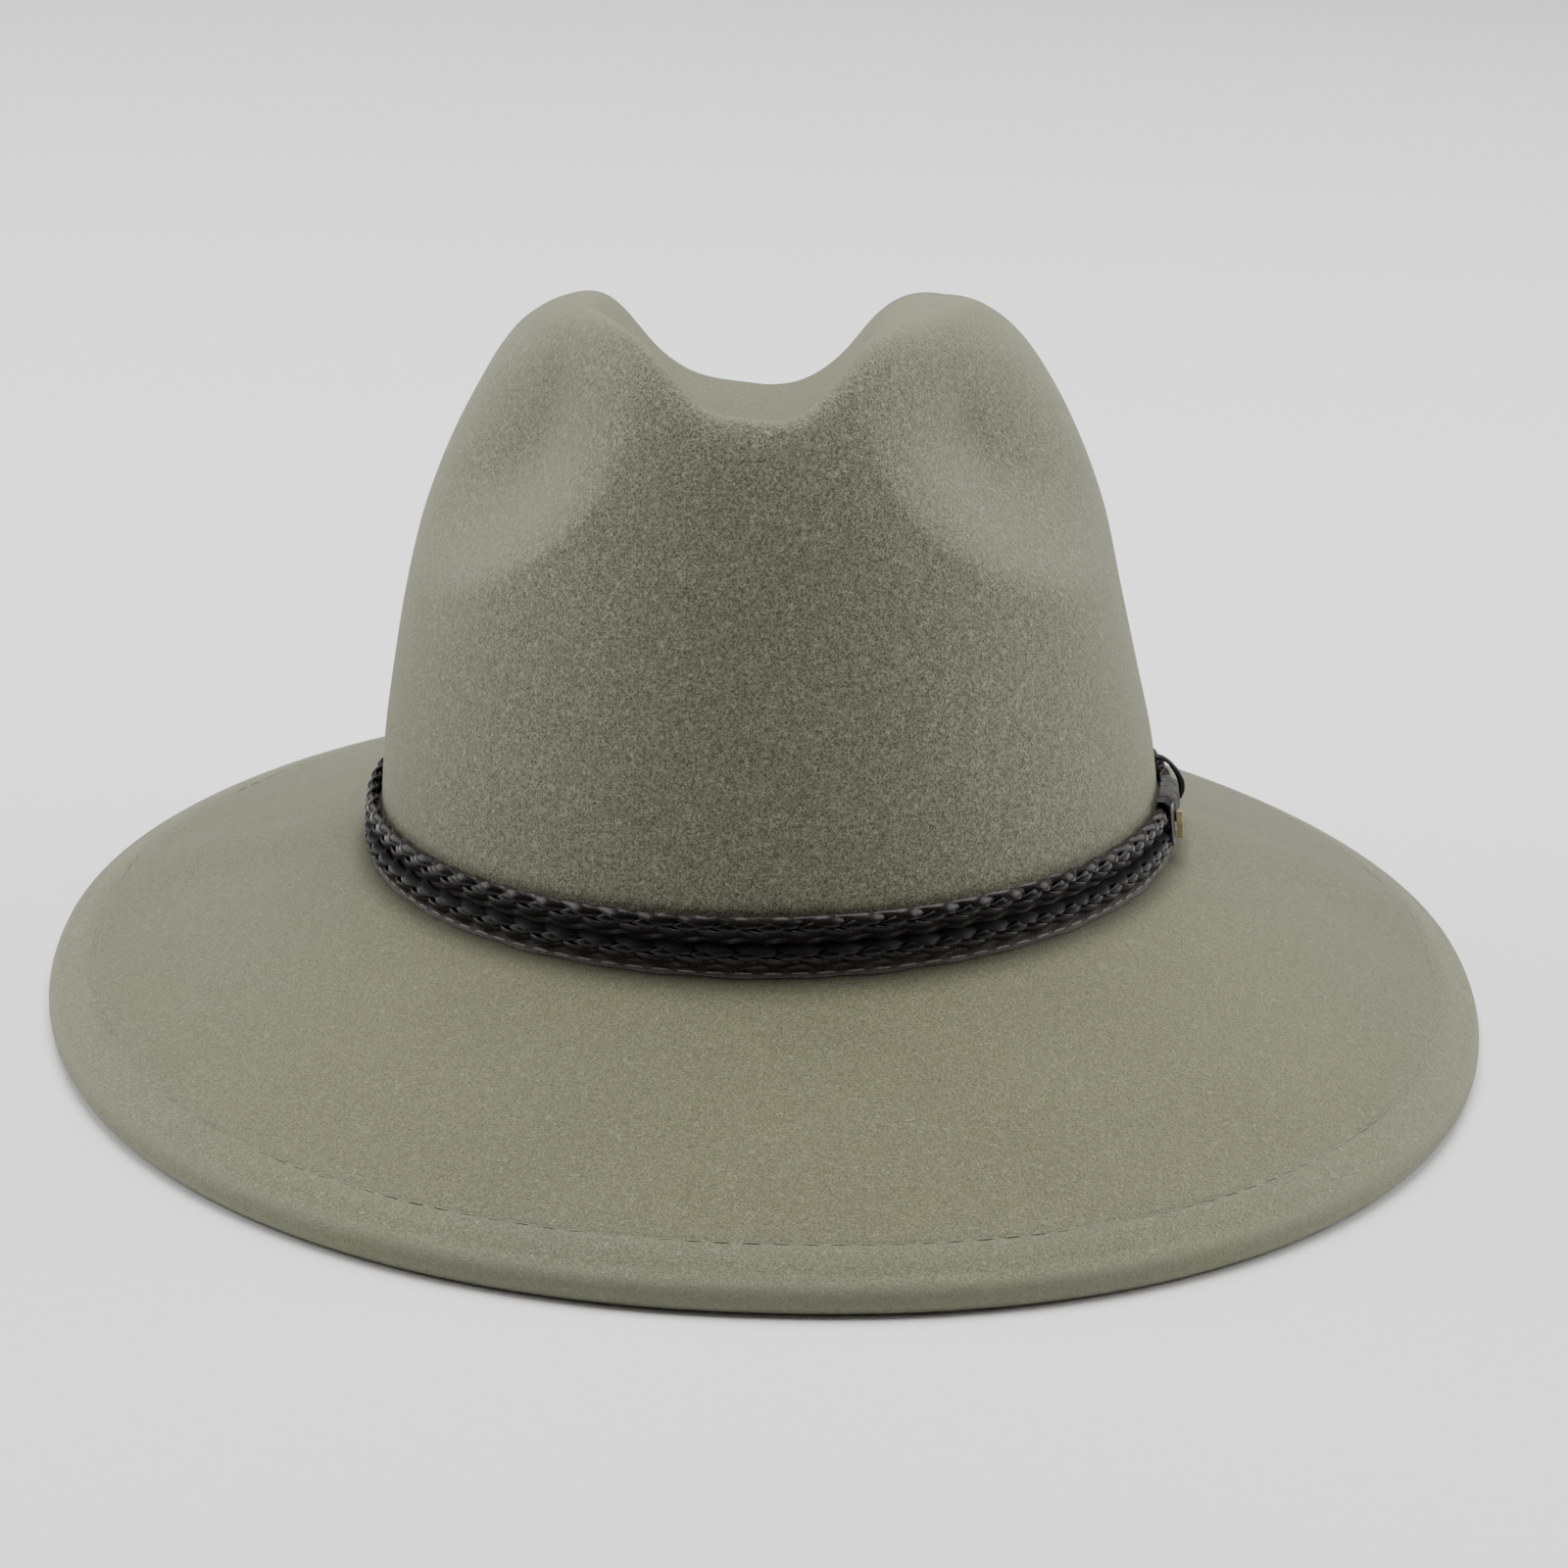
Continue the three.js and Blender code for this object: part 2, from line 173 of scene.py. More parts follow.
# six times the volume under faces, which is positive where a closed skin faces outwards
def volumeUnder(corners):
    return sum((np.cross(corners[:, 0], corners[:, k]) * corners[:, k + 1]).sum()
               for k in range(1, corners.shape[1] - 1))


# one grid, or several of the same size, as one mesh; an open first direction ends in fans over
# middle points, or in ladders from the given column on
def gridMesh(name, grid, loops=(False, True), capped=True, attributes=None, ladder=None):
    grid = np.asarray(grid, float)
    if grid.ndim == 3:
        grid = grid[None]
    many, rows, columns = grid.shape[:3]
    quads = gridQuads(rows, columns, loops)
    smoothFaces = len(quads)
    points = grid.reshape(many, -1, 3)
    fans = [np.zeros((0, 3), int)]
    if ladder is not None:
        quads = np.concatenate([quads, endLadders(rows, columns, ladder)])
    elif capped and not loops[0]:
        for row in (0, rows - 1):
            fans.append(endFan(points.shape[1], row, columns, row == 0))
            points = np.concatenate([points, grid[:, row].mean(1)[:, None]], 1)
    step = points.shape[1]
    shift = (np.arange(many) * step)[:, None, None]
    quads = (quads[None] + shift).reshape(-1, 4)
    fans = (np.concatenate(fans)[None] + shift).reshape(-1, 3)
    points = points.reshape(-1, 3)
    if volumeUnder(points[quads]) + volumeUnder(points[fans]) < 0:
        quads, fans = quads[:, ::-1], fans[:, ::-1]

    mesh = bpy.data.meshes.new(name)
    mesh.vertices.add(len(points))
    mesh.vertices.foreach_set("co", (points * 0.001).astype(np.float32).ravel())
    mesh.loops.add(quads.size + fans.size)
    corners = np.concatenate([quads.ravel(), fans.ravel()])
    mesh.loops.foreach_set("vertex_index", corners.astype(np.int32))
    mesh.polygons.add(len(quads) + len(fans))
    starts = np.concatenate([np.arange(len(quads)) * 4, quads.size + np.arange(len(fans)) * 3])
    mesh.polygons.foreach_set("loop_start", starts.astype(np.int32))
    mesh.polygons.foreach_set("use_smooth", (np.arange(len(starts)) < smoothFaces) | (ladder is None))
    mesh.update(calc_edges=True)
    for label, values in (attributes or {}).items():
        full = np.zeros((many, step))
        full[:, :rows * columns] = np.reshape(values, (many, -1))
        layer = mesh.attributes.new(label, "FLOAT", "POINT")
        layer.data.foreach_set("value", full.ravel().astype(np.float32))
    piece = bpy.data.objects.new(name, mesh)
    bpy.context.scene.collection.objects.link(piece)
    return piece


def finishPiece(piece, material, slot, *nodes):
    piece.data.materials.append(material)
    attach(piece, "root")
    if nodes:
        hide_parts(*nodes)


# the hat's form, in millimetres: front towards -Y, standing on the edge of the brim

hat = {
    "headHalfWidth": 86, "headHalfLength": 103, "headHeight": 38, "headForward": 3.65,
    "crownHeight": 127.4, "crownPitch": 0.062, "crownRoll": 0.0396, "slopePivot": -45, "crownWall": 2.2,
    "hemHalfWidth": 154.7, "hemHalfLength": 170.8, "hemRadius": 3.6,
    "hemFrontPower": 2.16, "hemBackPower": 2.01, "hemPowerTurn": 0.6,
    "hemTurn": 11.4, "turnThickness": 4.8, "brimThickness": 2.3, "restInner": 0.9, "restOuter": 1.1,
    "ridgeRise": 2.6, "ridgeHalfWidth": 24, "ridgeStart": -5.8, "ridgeSweep": 0.62, "ridgeFadeIn": 0.6,
    "creaseRise": 28.7, "creasePower": 5.37, "creaseRightPower": 2.88, "creaseRightWider": 0.134,
    "creaseSideBlend": 12, "creaseTilt": -2.83, "creaseTiltReach": 20,
    "creaseOuterSlope": 0.59, "creaseBlend": 15, "lipBlend": 8,
    "pinchDepth": 12.5, "pinchShift": -3.7, "pinchCornerAngle": 1.22, "pinchReach": 0.94,
    "pinchCornerHeight": 112, "pinchDrop": 49, "pinchPower": 2.2, "pinchLedge": 0.46, "pinchCrispness": 0.5,
    "pinchTopStart": 88, "pinchTopEnd": 128, "pinchSideStart": 0.6, "pinchSideEnd": 1.54,
    "pinchPush": 0.7, "pinchPoleCalm": 30,
}
# open crown from the foot to the top: height, width, front, back, tilt, sideways shift
crownRows = np.array([
    [0, 1, 1, 1, 0, 0],
    [0.16, 0.98, 0.985, 0.98, 0, -0.4],
    [0.3, 0.944, 0.965, 0.95, -0.01, -1],
    [0.43, 0.909, 0.94, 0.92, -0.03, -1.3],
    [0.56, 0.867, 0.912, 0.88, -0.05, -1],
    [0.66, 0.823, 0.885, 0.84, -0.08, -0.7],
    [0.75, 0.772, 0.85, 0.79, -0.11, -0.6],
    [0.83, 0.715, 0.805, 0.73, -0.13, -0.5],
    [0.9, 0.654, 0.745, 0.655, -0.15, -0.6],
    [0.955, 0.581, 0.67, 0.565, -0.17, -0.9],
    [0.995, 0.474, 0.56, 0.45, -0.18, -1],
    [1.02, 0.32, 0.4, 0.31, -0.18, -0.5],
    [1.032, 0.155, 0.205, 0.15, -0.18, 0],
    [1.035, 0, 0, 0, -0.18, 0],
])
# floor of the crease from front to back: distance back, floor height, half width, middle
creaseRows = np.array([
    [-110, 109.9, 25.1, -0.8],
    [-84, 107.9, 25.4, -0.8],
    [-58, 99.1, 29.2, -3.4],
    [-34, 97.05, 33.9, -6.4],
    [0, 98.65, 37.6, -3.65],
    [30, 92.4, 44.2, 0],
    [55, 87.4, 49.2, 0],
    [80, 77.4, 50.9, 0],
    [110, 62.4, 50.9, 0],
])


def smoothStep(t):
    t = np.clip(t, 0, 1)
    return t * t * (3 - 2 * t)


# the lower of two heights, with the corner between them rounded
def smoothMin(a, b, blend):
    h = np.clip(0.5 + 0.5 * (b - a) / blend, 0, 1)
    return b * (1 - h) + a * h - blend * h * (1 - h)


# smooth curve through the rows of a table, by a cubic between each pair
def throughRows(rows, place):
    padded = np.vstack([2 * rows[0] - rows[1], rows, 2 * rows[-1] - rows[-2]])
    i = np.clip(np.floor(place).astype(int), 0, len(rows) - 2)
    f = (place - i)[..., None]
    a, b, c, d = padded[i], padded[i + 1], padded[i + 2], padded[i + 3]
    square, cube = 2 * a - 5 * b + 4 * c - d, 3 * b - a - 3 * c + d
    return 0.5 * (2 * b + (c - a) * f + square * f ** 2 + cube * f ** 3)


# crown's own place, turned by its pitch and roll and lifted to where the head sits
def standCrown(x, y, z):
    p, r = hat["crownPitch"], hat["crownRoll"]
    y1, z1 = y * np.cos(p) + z * np.sin(p), z * np.cos(p) - y * np.sin(p)
    return np.stack([x * np.cos(r) - z1 * np.sin(r), y1 - hat["headForward"],
                     x * np.sin(r) + z1 * np.cos(r) + hat["headHeight"]], -1)


# height of the crease's cup: a floor that rises to both sides by a power of a sine; and how
# softly the dome rounds into it, crisper in the middle
def creaseCup(x, y):
    floor, halfWidth, middle = (np.interp(y, creaseRows[:, 0], creaseRows[:, k]) for k in (1, 2, 3))
    off = np.abs(x - middle)
    right = smoothStep(0.5 + (x - middle) / hat["creaseSideBlend"])  # its right side rises more slowly
    power = hat["creasePower"] + (hat["creaseRightPower"] - hat["creasePower"]) * right
    halfWidth = halfWidth * (1 + hat["creaseRightWider"] * right)
    floor = floor + hat["creaseTilt"] * np.clip((x - middle) / hat["creaseTiltReach"], -1, 1)
    cup = floor + hat["creaseRise"] * np.sin(np.pi / 2 * np.clip(off / halfWidth, 0, 1)) ** power
    cup = cup + hat["creaseOuterSlope"] * np.maximum(off - halfWidth, 0)
    return cup, hat["lipBlend"] + (hat["creaseBlend"] - hat["lipBlend"]) * smoothStep(off / halfWidth)


# how deep a pinch is: 1 in its scoop, 0 past its rounded corner line
def pinchShare(angle, height):
    across = np.maximum(hat["pinchCornerAngle"] - angle, 0) / hat["pinchReach"]
    down = np.maximum(hat["pinchCornerHeight"] - height, 0) / hat["pinchDrop"]
    away = (across ** hat["pinchPower"] + down ** hat["pinchPower"]) ** (1 / hat["pinchPower"])
    t = np.clip((1 - away) / hat["pinchLedge"], 0, 1)
    ledge = (1 - hat["pinchCrispness"]) * smoothStep(t) + hat["pinchCrispness"] * np.sin(np.pi / 2 * t)
    top = 1 - smoothStep((height - hat["pinchTopStart"]) / (hat["pinchTopEnd"] - hat["pinchTopStart"]))
    side = 1 - smoothStep((angle - hat["pinchSideStart"]) / (hat["pinchSideEnd"] - hat["pinchSideStart"]))
    return ledge * top * side


# crown's outer face: an oval dome cut from above by a cupped crease and pushed in at two pinches
def crownPoint(angle, place):
    angle, place = np.broadcast_arrays(angle, place)
    height, width, front, back, tilt, shift = np.moveaxis(throughRows(crownRows, place), -1, 0)
    x = hat["headHalfWidth"] * width * np.cos(angle)
    y = hat["headHalfLength"] * np.where(np.sin(angle) < 0, front, back) * np.sin(angle)
    dome = hat["crownHeight"] * height + tilt * (y - hat["slopePivot"])
    z = smoothMin(dome, *creaseCup(x, y))
    fromBridge = x - hat["pinchShift"]
    push = hat["pinchDepth"] * pinchShare(np.arctan2(np.abs(fromBridge), -y), dome)
    push = push * smoothStep(np.hypot(fromBridge, y) / hat["pinchPoleCalm"])  # none at the pole
    return standCrown(x - push * np.sin(hat["pinchPush"]) * np.sign(fromBridge) + shift,
                      y + push * np.cos(hat["pinchPush"]), z)


# vertical slice of the brim at an angle: start on the crown, unit step outwards, run and slope
def brimSlice(angle):
    c, s = np.cos(angle), np.sin(angle)
    start = standCrown(hat["headHalfWidth"] * c, hat["headHalfLength"] * s, 0 * angle)
    towardsBack = smoothStep((s + hat["hemPowerTurn"]) / (2 * hat["hemPowerTurn"]))
    power = hat["hemFrontPower"] + (hat["hemBackPower"] - hat["hemFrontPower"]) * towardsBack
    endX = hat["hemHalfWidth"] * np.sign(c) * np.abs(c) ** (2 / power)
    endY = hat["hemHalfLength"] * np.sign(s) * np.abs(s) ** (2 / power)
    run = np.hypot(endX - start[..., 0], endY - start[..., 1])
    slope = np.arctan2(start[..., 2] - 2 * hat["hemRadius"], run)
    return start, (endX - start[..., 0]) / run, (endY - start[..., 1]) / run, run, slope


def alongSlice(angle, distance, height):
    start, outX, outY, _, _ = brimSlice(angle)
    x, y = start[..., 0] + outX * distance, start[..., 1] + outY * distance
    return np.stack([x, y, height + 0 * distance], -1)


# distance from the crown's foot to where the brim's edge begins to round
def brimReach(angle):
    _, _, _, run, slope = brimSlice(angle)
    return run + hat["hemRadius"] * np.sin(slope)


# brim's upper face: a straight slope with one soft ridge on each side
def brimPoint(angle, share):
    angle, share = np.broadcast_arrays(angle, share)
    start, _, _, _, slope = brimSlice(angle)
    end = hat["hemRadius"] * (1 + np.cos(slope))
    point = alongSlice(angle, share * brimReach(angle), start[..., 2] + (end - start[..., 2]) * share)
    fromHead = np.abs(point[..., 0]) / hat["headHalfWidth"] - 1
    ridgeY = hat["ridgeStart"] + hat["ridgeSweep"] * fromHead * hat["headHalfWidth"]
    near = 1 - smoothStep(np.abs(point[..., 1] - ridgeY) / hat["ridgeHalfWidth"])
    side = smoothStep(1 + fromHead / (1 - hat["ridgeFadeIn"]))
    point[..., 2] += hat["ridgeRise"] * side * np.sin(np.pi * np.clip(share, 0, 1)) * near
    return point


# point measured from the middle of the edge's round
def hemPoint(angle, outward, height):
    run = brimSlice(angle)[3]
    return alongSlice(angle, run + outward, hat["hemRadius"] + height)


# share of the brim that lies a distance in from the middle of the edge's round
def shareInside(angle, inward):
    return (brimSlice(angle)[3] - inward) / brimReach(angle)


# unit normal of a face from its neighbours, turned to point up or out of the hat
def faceNormal(face, angle, place, step, sign=1):
    alongAngle = face(angle + 0.01, place) - face(angle - 0.01, place)
    alongPlace = face(angle, place + step) - face(angle, place - step)
    normal = np.cross(alongAngle, alongPlace) * sign
    return normal / np.linalg.norm(normal, axis=-1, keepdims=True)


def brimNormal(angle, share):
    return faceNormal(brimPoint, angle, share, 0.01, -1)


# camera where the photo was taken, and soft light from the top, back and sides

camera = {"elevation": 19.547, "distance": 1000, "pixels": 4597.24, "photoWidth": 1600, "sensor": 36,
          "aim": (2.717, 0, 45.468), "roll": 0.0356915, "yaw": 0.016006, "forward": 0.15}


def placeCamera():
    e = math.radians(camera["elevation"])
    right = Vector((1, 0, 0))
    up, away = Vector((0, math.sin(e), math.cos(e))), Vector((0, math.cos(e), -math.sin(e)))
    c, s = math.cos(camera["roll"]), math.sin(camera["roll"])
    axes = Matrix((right * c + up * s, up * c - right * s, -away)).transposed()
    turn = Matrix.Rotation(-camera["yaw"], 3, "Z")
    eye = turn @ (Vector(camera["aim"]) - away * camera["distance"]) + Vector((0, camera["forward"], 0))
    data = bpy.data.cameras.new("view")
    data.sensor_width = camera["sensor"]
    data.lens = camera["pixels"] / camera["photoWidth"] * camera["sensor"]
    data.clip_start, data.clip_end = 0.05, 50
    view = bpy.data.objects.new("view", data)
    bpy.context.scene.collection.objects.link(view)
    view.matrix_world = Matrix.Translation(eye * 0.001) @ (turn @ axes).to_4x4()
    bpy.context.scene.camera = view


light = {
    "sky": 0.07,
    # name: watts, width, height, position, aim
    "lamps": {
        "left": (19, 1.3, 1.0, (-1.35, 0.25, 0.75), (0, 0, 0.06)),
        "right": (19, 1.3, 1.0, (1.35, 0.25, 0.75), (0, 0, 0.06)),
        "top": (49, 1.3, 1.3, (0, 0.27, 1.7), (0, 0, 0.0)),
        "back": (4, 1.6, 0.9, (0, 1.6, 0.9), (0, 0, 0.08)),
    },
}


def placeLight():
    world = bpy.data.worlds.new("studio")
    world.use_nodes = True
    background = world.node_tree.nodes["Background"]
    background.inputs["Color"].default_value = (1, 1, 1, 1)
    background.inputs["Strength"].default_value = light["sky"]
    bpy.context.scene.world = world
    for name, (watts, width, height, position, aim) in light["lamps"].items():
        data = bpy.data.lights.new(name, "AREA")
        data.shape = "RECTANGLE"
        data.size, data.size_y, data.energy = width, height, watts
        lamp = bpy.data.objects.new(name, data)
        bpy.context.scene.collection.objects.link(lamp)
        lamp.location = position
        lamp.rotation_euler = (Vector(aim) - Vector(position)).to_track_quat("-Z", "Y").to_euler()


ground = {"halfWidth": 6000, "points": 9, "grain": 260, "dark": (0.86, 0.86, 0.86), "pale": (0.9, 0.9, 0.9)}


def layFloor():
    across = np.linspace(-ground["halfWidth"], ground["halfWidth"], ground["points"])
    x, y = np.meshgrid(across, across, indexing="ij")
    floor = gridMesh("floor", np.stack([x, y, 0 * x], -1), (False, False), capped=False)
    material, wire, place, feed, _ = newFinish("pale floor", Roughness=0.75)
    feed("Base Color", wire.blend(wire.noise(place, ground["grain"]), ground["dark"], ground["pale"]))
    floor.data.materials.append(material)
    if floor.data.polygons[0].normal.z < 0:
        floor.data.flip_normals()


placeCamera()
placeLight()
layFloor()
print("camera, light and floor are set")


# felt body: crown, brim, rounded edge, turned layer, underside and inside as one skin

felt = {
    "steps": 400, "topPlace": 12.97, "shoulderPlace": 4, "footPlace": 0.0197, "footShare": 0.006,
    "innerTopPlace": 12.9, "innerFootPlace": 0.05, "unevenness": 0.28, "brimUnevenness": 0.42,
    "grooveIn": 9.8, "grooveDepth": 0.1, "grooveHalfWidth": 0.5, "hemPuff": 0.3, "edgeEnd": -1.26,
    "turnHollow": 0.55, "stitchDent": 0.45, "stitchPlace": 0.64, "stitchHalfWidth": 0.07,
    # shares of the attributes: the nap shows most on the crown's front, where its grain also darkens the
    # faces turned to the front as painted shade; the olive tone on the brim's
    "napCrown": 0.42, "napAndShadeFront": 0.58, "napBrim": 0.62, "napEdge": 0.32, "oliveLeast": 0.15,
    # where the tape ends, how far its painted shadow reaches past it, and the painted shade at the back
    "tapeReach": 2.75, "tapeShade": 4, "backShade": 0.27, "backShadeMore": 0.18,
    "colours": {
        "grey": (0.19, 0.195, 0.139), "olive": (0.203, 0.207, 0.119), "patch": (0.172, 0.168, 0.13),
        "pits": (0.066, 0.067, 0.049), "hairs": (0.43, 0.44, 0.33), "shade": (0.045, 0.045, 0.035),
        # the seam colour is painted shade in the seam's groove
        "seam": (0.1, 0.1, 0.07),
    },
}
# places across the turned layer's face, closer about the stitches; then how far its raw edge
# bulges on the way up to the underside
turnedPlaces = np.array([0.12, 0.26, 0.42, 0.54, 0.6, 0.64, 0.68, 0.74, 0.84, 0.93, 1.0])
rawEdge = np.array([[0.12, 0.35], [0.32, 0.62], [0.55, 0.72], [0.78, 0.78], [0.94, 1.0]])
stitchDent = np.exp(-((turnedPlaces - felt["stitchPlace"]) / felt["stitchHalfWidth"]) ** 2)[:, None]


# slow lumps of hand-shaped felt, from -1 to 1: a few long waves in three directions
def lumps(points):
    waves = np.array([[0.11, 0.05, 0.09], [-0.07, 0.13, 0.04], [0.16, -0.11, 0.12], [0.05, 0.2, -0.1],
                      [-0.21, 0.03, 0.16]])
    sizes = np.array([1, 0.9, 0.55, 0.5, 0.4])
    phases = np.array([0.4, 2.1, 4.4, 1.2, 5.3])
    return (np.sin(points @ waves.T + phases) * sizes).sum(-1) / sizes.sum()


# a crown face with its normals and its lumps, which fade out behind the band
def crownFace(turns, places):
    face = crownPoint(turns, places)
    normal = faceNormal(crownPoint, turns, places, 0.02)
    return face, normal, felt["unevenness"] * (lumps(face) * smoothStep((places - 0.9) / 1.2))[..., None]


# the brim's lumps fade out where it bends up into the crown
def brimLumps(points, shares):
    return felt["brimUnevenness"] * lumps(points) * smoothStep((shares - 0.12) / 0.15)


# outer crown from the top to its foot, with closer rows where the creases are
def outerCrown(turns):
    places = np.concatenate([np.linspace(felt["topPlace"], felt["shoulderPlace"], 96)[:-1],
                             np.linspace(felt["shoulderPlace"], felt["footPlace"], 22)])[:, None]
    face, normal, sway = crownFace(turns, places)
    return face + normal * sway, normal


def innerCrown(turns):
    places = np.concatenate([np.linspace(felt["innerFootPlace"], felt["shoulderPlace"], 12)[:-1],
                             np.linspace(felt["shoulderPlace"], felt["innerTopPlace"], 52)])[:, None]
    face, normal, sway = crownFace(turns, places)
    return face - normal * (hat["crownWall"] - sway)


# brim from the foot to where the edge begins to round, with the sunk seam near the edge
def upperBrim(turns, shares):
    seamIn = felt["grooveIn"] - hat["hemRadius"]
    fromEdge = brimSlice(turns)[3] - shares * brimReach(turns)
    groove = np.exp(-((fromEdge - seamIn) / felt["grooveHalfWidth"]) ** 2)
    puff = felt["hemPuff"] * np.sin(np.pi * np.clip(fromEdge / seamIn, 0, 1))
    brim = brimPoint(turns, shares)
    lift = brimLumps(brim, shares) * smoothStep(fromEdge / 12) - felt["grooveDepth"] * groove + puff
    return brim + brimNormal(turns, shares) * lift[..., None], groove


# the rounded edge, the flat ring that the hat rests on, the turned layer and its raw edge
def turnedEdge(turns):
    slope = brimSlice(turns)[4]
    radius, turnInner = hat["hemRadius"], hat["hemTurn"] - hat["hemRadius"]
    sweep = np.linspace(0, 1, 16)[1:-1, None]
    around = (np.pi / 2 - slope) * (1 - sweep) + felt["edgeEnd"] * sweep
    edge = hemPoint(turns, radius * np.cos(around), radius * np.sin(around))
    rest = hemPoint(turns, np.array([[hat["restOuter"]], [0.1], [-hat["restInner"]]]), -radius)

    lower = (radius - hat["turnThickness"]) / np.cos(slope) + turnInner * np.tan(slope)
    t = turnedPlaces[:, None]
    hollow = felt["stitchDent"] * stitchDent - felt["turnHollow"] * np.sin(np.pi * t)
    face = hemPoint(turns, -hat["restInner"] + (hat["restInner"] - turnInner) * t,
                    -radius + (lower + radius) * t + hollow)

    upper = lower + (hat["turnThickness"] - hat["brimThickness"]) / np.cos(slope)
    t, out = rawEdge[:, :1], rawEdge[:, 1:]
    raw = hemPoint(turns, -turnInner - out, lower + (upper - lower) * t + out * np.tan(slope))
    return edge, rest, face, raw


# underside from the raw edge back to the crown's foot
def lowerBrim(turns):
    t = np.concatenate([[1, 0.985], np.linspace(0.95, 0.0, 24)])[:, None]
    lastShare = shareInside(turns, hat["hemTurn"] - hat["hemRadius"] + 1.5)
    shares = felt["footShare"] + (lastShare - felt["footShare"]) * t
    point = brimPoint(turns, shares)
    sway = brimLumps(point, shares) * smoothStep((1 - t) / 0.1)
    return point - brimNormal(turns, shares) * (hat["brimThickness"] - sway)[..., None]


def feltSkin():
    turns = 2 * np.pi * np.arange(felt["steps"]) / felt["steps"]
    inward = np.concatenate([np.linspace(1, 0.18, 34), np.linspace(0.18, 0, 40)[1:]])[:, None]
    shares = felt["footShare"] + (1 - felt["footShare"]) * (1 - inward)
    crown, crownNormal = outerCrown(turns)
    brim, groove = upperBrim(turns, shares)
    edge, rest, turned, raw = turnedEdge(turns)
    parts = {"crown": crown, "brim": brim, "edge": edge, "rest": rest, "turned": turned, "raw": raw,
             "under": lowerBrim(turns), "inner": innerCrown(turns)}

    # an attribute's values at all points, from its values on some of the parts
    def paint(base, **values):
        return np.concatenate([np.broadcast_to(values.get(name, base), rows.shape[:2])
                               for name, rows in parts.items()])

    # faces turned to the front get more nap: real grain, and painted shade from its dark pits
    towardsFront = smoothStep((0.1 - crownNormal[..., 1]) / 0.75)
    frontOlive = smoothStep(0.3 - 0.9 * np.sin(turns)) * (1 - 0.45 * smoothStep((shares - 0.8) / 0.12))
    # painted shadow of the band on the felt along the tape, most at the front, and painted shade a little
    # darker towards the back
    fromTape = np.maximum(shares * brimSlice(turns)[3] - felt["tapeReach"], 0)
    alongTape = np.exp(-(fromTape / felt["tapeShade"]) ** 2) * smoothStep(0.7 - 0.6 * np.sin(turns))
    atBack = felt["backShade"] + felt["backShadeMore"] * np.sin(turns)
    atBack = atBack * (1 - smoothStep((shares - 0.84) / 0.12))
    return np.concatenate(list(parts.values())), {
        "seam": paint(0, brim=groove, turned=stitchDent),
        "nap": paint(felt["napCrown"], crown=felt["napCrown"] + felt["napAndShadeFront"] * towardsFront,
                     brim=felt["napBrim"], edge=felt["napEdge"]),
        "olive": paint(felt["oliveLeast"], brim=frontOlive),
        "shade": paint(0, brim=np.maximum(alongTape, atBack)),
    }


def feltFinish():
    material, wire, place, feed, bump = newFinish(
        "sage wool felt", Roughness=0.95, Sheen_Weight=0.2, Sheen_Roughness=0.4,
        Sheen_Tint=(0.93, 0.96, 0.8, 1), Specular_IOR_Level=0.1)
    colours = felt["colours"]

    # thin curly hairs: the line where a stirred noise crosses its middle value
    def hairs(stirScale, stir, scale, width, shift=0.0):
        vector = wire.stirred(place, stirScale, stir)
        level = wire.noise(vector, scale, 1.0, 0.4) - (0.5 + shift)
        return (1.0 - level.math("ABSOLUTE", level) * (1 / width)).clamped()

    def spread(scale, detail, gain, middle=0.5):
        return wire.noise(place, scale, detail, 0.6).contrast(gain, middle)

    fine = hairs(800, 0.0007, 1900, 0.09) * spread(1100, 1, 3.0)
    loose = hairs(560, 0.0012, 1150, 0.05) * spread(700, 1, 4.0)
    curls = hairs(420, 0.0015, 800, 0.034, 0.05) * spread(520, 1, 5.0)
    hair = (fine * 0.55 + loose * 0.8 + curls).clamped()
    pits = spread(2300, 2, 6.0)
    cloud, patch = spread(14, 3, 2.4), spread(90, 3, 2.4)
    nap = wire.painted("nap")

    olive = (wire.painted("olive") + cloud * 0.5 - 0.25).clamped()
    coloured = wire.blend(olive, colours["grey"], colours["olive"])
    coloured = wire.blend(patch * 0.25, coloured, colours["patch"])
    # dark pits between the fibres: real grain, and where the nap is high on the crown's front also painted
    # shade
    coloured = wire.blend((1.0 - pits) * nap * 0.85, coloured, colours["pits"])
    coloured = wire.blend(hair * nap * 0.62, coloured, colours["hairs"])
    # painted shadow along the tape and painted shade towards the back
    coloured = wire.blend(wire.painted("shade") * 0.8, coloured, colours["shade"])
    # painted shade in the seam's sunk groove on the brim and along the stitch dent on the turned layer
    seamShade = (wire.painted("seam") * spread(45, 1, 6.0, 0.54) * 0.4).clamped()
    feed("Base Color", wire.blend(seamShade, coloured, colours["seam"]))
    bump(hair * 0.8 + pits * 0.35 + patch * 0.4, 0.00025, 0.6)
    return material


feltRows, feltShares = feltSkin()
feltPiece = gridMesh("wool_felt", feltRows, attributes=feltShares)
finishPiece(feltPiece, feltFinish(), "felt", "felt_body")
print("felt body:", len(feltPiece.data.polygons), "faces")


# band: two flat plaits of four laces each

band = {"fitGap": 0.3, "tapeThickness": 0.5, "behindBraid": 0.2, "braidThickness": 2.5, "braidHeight": 5.2,
        "braidGap": 0.45, "lowerBraidFoot": 0.35}
lowerMiddle = band["lowerBraidFoot"] + band["braidHeight"] / 2
upperMiddle = lowerMiddle + band["braidHeight"] + band["braidGap"]
bandTop = upperMiddle + band["braidHeight"] / 2
braidInner = band["fitGap"] + band["tapeThickness"] + band["behindBraid"]
braidOuter = braidInner + band["braidThickness"]


